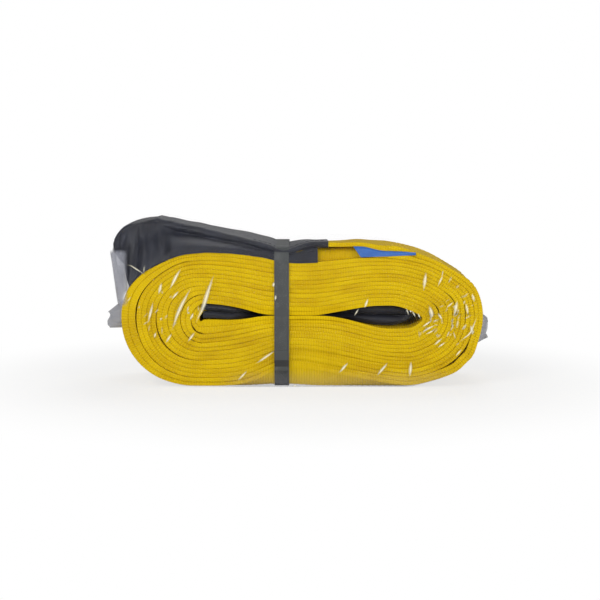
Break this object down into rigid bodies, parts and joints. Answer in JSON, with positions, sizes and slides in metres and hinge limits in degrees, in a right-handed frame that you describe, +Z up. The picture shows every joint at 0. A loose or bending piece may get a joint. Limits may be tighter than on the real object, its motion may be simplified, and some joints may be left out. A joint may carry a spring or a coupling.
{
  "type": "webbing lifting sling, coiled and wrapped",
  "caption": "Flat duplex webbing sling with sleeved eyes, wound into an oblong coil, strapped round its waist and sealed in clear film.",
  "frame": {"origin": "middle of the underside of the wrapped package, on the surface that it stands on", "axes": "+Z up, +X along the coil's long side, +Y along the winding axis, from the front of the coil to its back"},
  "size_m": [0.3156, 0.0954, 0.1386],
  "materials": {
    "webbing": "woven polyester webbing, ribbed",
    "sleeve": "close woven black sleeve",
    "thread": "sewing thread",
    "sleeve_thread": "sewing thread",
    "label": "coated fabric tag, bare of print",
    "strap": "grey packing strap",
    "film": "clear taut packing film"
  },
  "bodies": {
    "root": {"body_outer_ply": "webbing", "body_inner_ply": "webbing", "inner_eye_webbing": "webbing", "outer_eye_webbing": "webbing", "inner_eye_sleeve": "sleeve", "outer_eye_sleeve": "sleeve", "body_seams": "thread", "outer_throat_stitching": "thread", "inner_throat_stitching": "thread", "outer_sleeve_seam": "sleeve_thread", "inner_sleeve_seam": "sleeve_thread", "identification_label": "label", "packing_band": "strap", "film_wrap": "film", "film_left_gather": "film", "film_right_gather": "film"}
  },
  "joints": []
}
